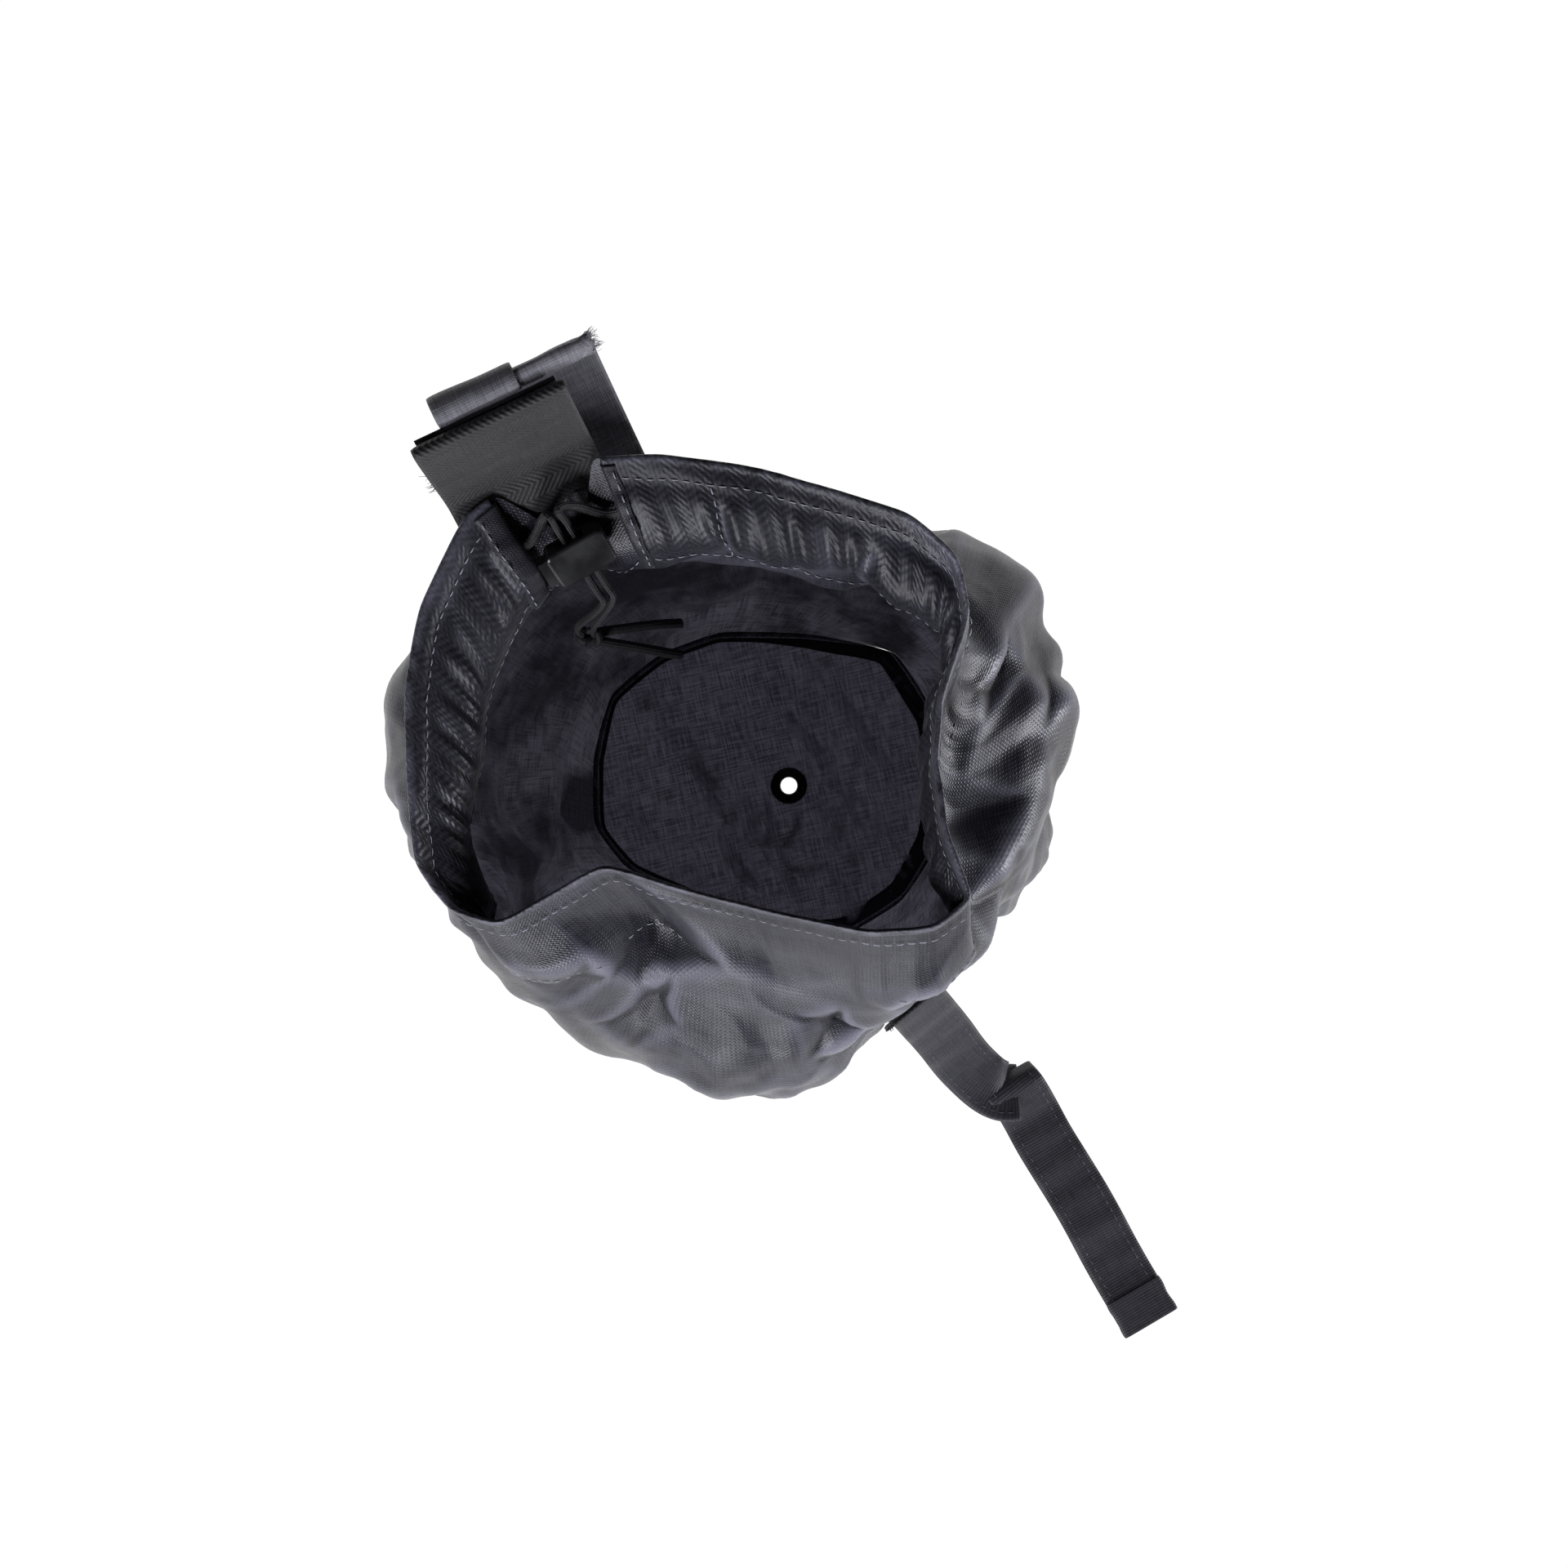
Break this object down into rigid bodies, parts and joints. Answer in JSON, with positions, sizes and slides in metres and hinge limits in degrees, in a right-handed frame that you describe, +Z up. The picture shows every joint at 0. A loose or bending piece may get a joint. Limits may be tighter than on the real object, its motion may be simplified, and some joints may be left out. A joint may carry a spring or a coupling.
{
  "type": "rope storage bag",
  "caption": "Soft open bag with a round eyelet base, a drawstring mouth with cord lock, a hook and loop harness hanger and a webbing strap on its side.",
  "frame": {"origin": "middle of the footprint, on the floor that the bag stands on", "axes": "+Z up, +Y towards the harness hanger at the back, +X to the right seen from the front strap's side"},
  "size_m": [0.303, 0.3742, 0.3028],
  "materials": {
    "cloth": "woven coated nylon",
    "lining": "folded woven nylon",
    "webbing": "ribbed webbing",
    "fastener_tape": "hook tape",
    "cord": "braided cord",
    "lock_plastic": "glossy moulded",
    "eyelet_metal": "black lacquered",
    "spring_steel": "drawn wire"
  },
  "bodies": {
    "bag": {"base_panel": "cloth", "base_binding": "lining", "base_eyelet": "eyelet_metal", "base_eyelet_washer": "eyelet_metal", "wall_panel_left": "cloth", "wall_panel_right": "cloth", "casing_facing": "cloth", "drawstring_in_casing": "cord", "drawstring_free_left": "cord", "drawstring_free_right": "cord", "drawstring_tail_left": "cord", "drawstring_tail_right": "cord", "drawstring_knot": "cord", "hanger_webbing": "webbing", "hanger_hook_tape": "fastener_tape", "strap_keeper": "webbing", "front_strap_root": "webbing"},
    "cord_lock": {"cord_lock_body": "lock_plastic", "cord_lock_spring": "spring_steel"},
    "lock_button": {"cord_lock_button": "lock_plastic"},
    "harness_band": {"hanger_band": "cloth"},
    "strap_root": {"front_strap_upper": "webbing"},
    "strap_end": {"front_strap_lower": "webbing", "front_strap_tip": "webbing"}
  },
  "joints": [
    {"name": "lock_slide", "type": "slide", "parent": "bag", "child": "cord_lock", "axis": [0.4203, -0.6804, -0.6004], "range_m": [-0.002, 0.008]},
    {"name": "button_press", "type": "slide", "parent": "cord_lock", "child": "lock_button", "axis": [0.8737, 0.4821, 0.0652], "range_m": [0, 0.002], "stiffness_N_per_m": 400, "springref_m": -0.002, "deforming": ["cord_lock_spring"]},
    {"name": "band_open", "type": "hinge", "parent": "bag", "child": "harness_band", "pos_m": [-0.08743, 0.12389, 0.2395], "axis": [-0.9052, -0.4251, 0], "range_deg": [0, 70]},
    {"name": "strap_swing", "type": "hinge", "parent": "bag", "child": "strap_root", "pos_m": [0.03674, -0.03875, 0.07188], "axis": [-0.7768, -0.6298, 0], "range_deg": [0, 70]},
    {"name": "strap_fold", "type": "hinge", "parent": "strap_root", "child": "strap_end", "pos_m": [0.0764, -0.07972, 0.0069], "axis": [-0.7768, -0.6298, 0], "range_deg": [0, 40]}
  ]
}
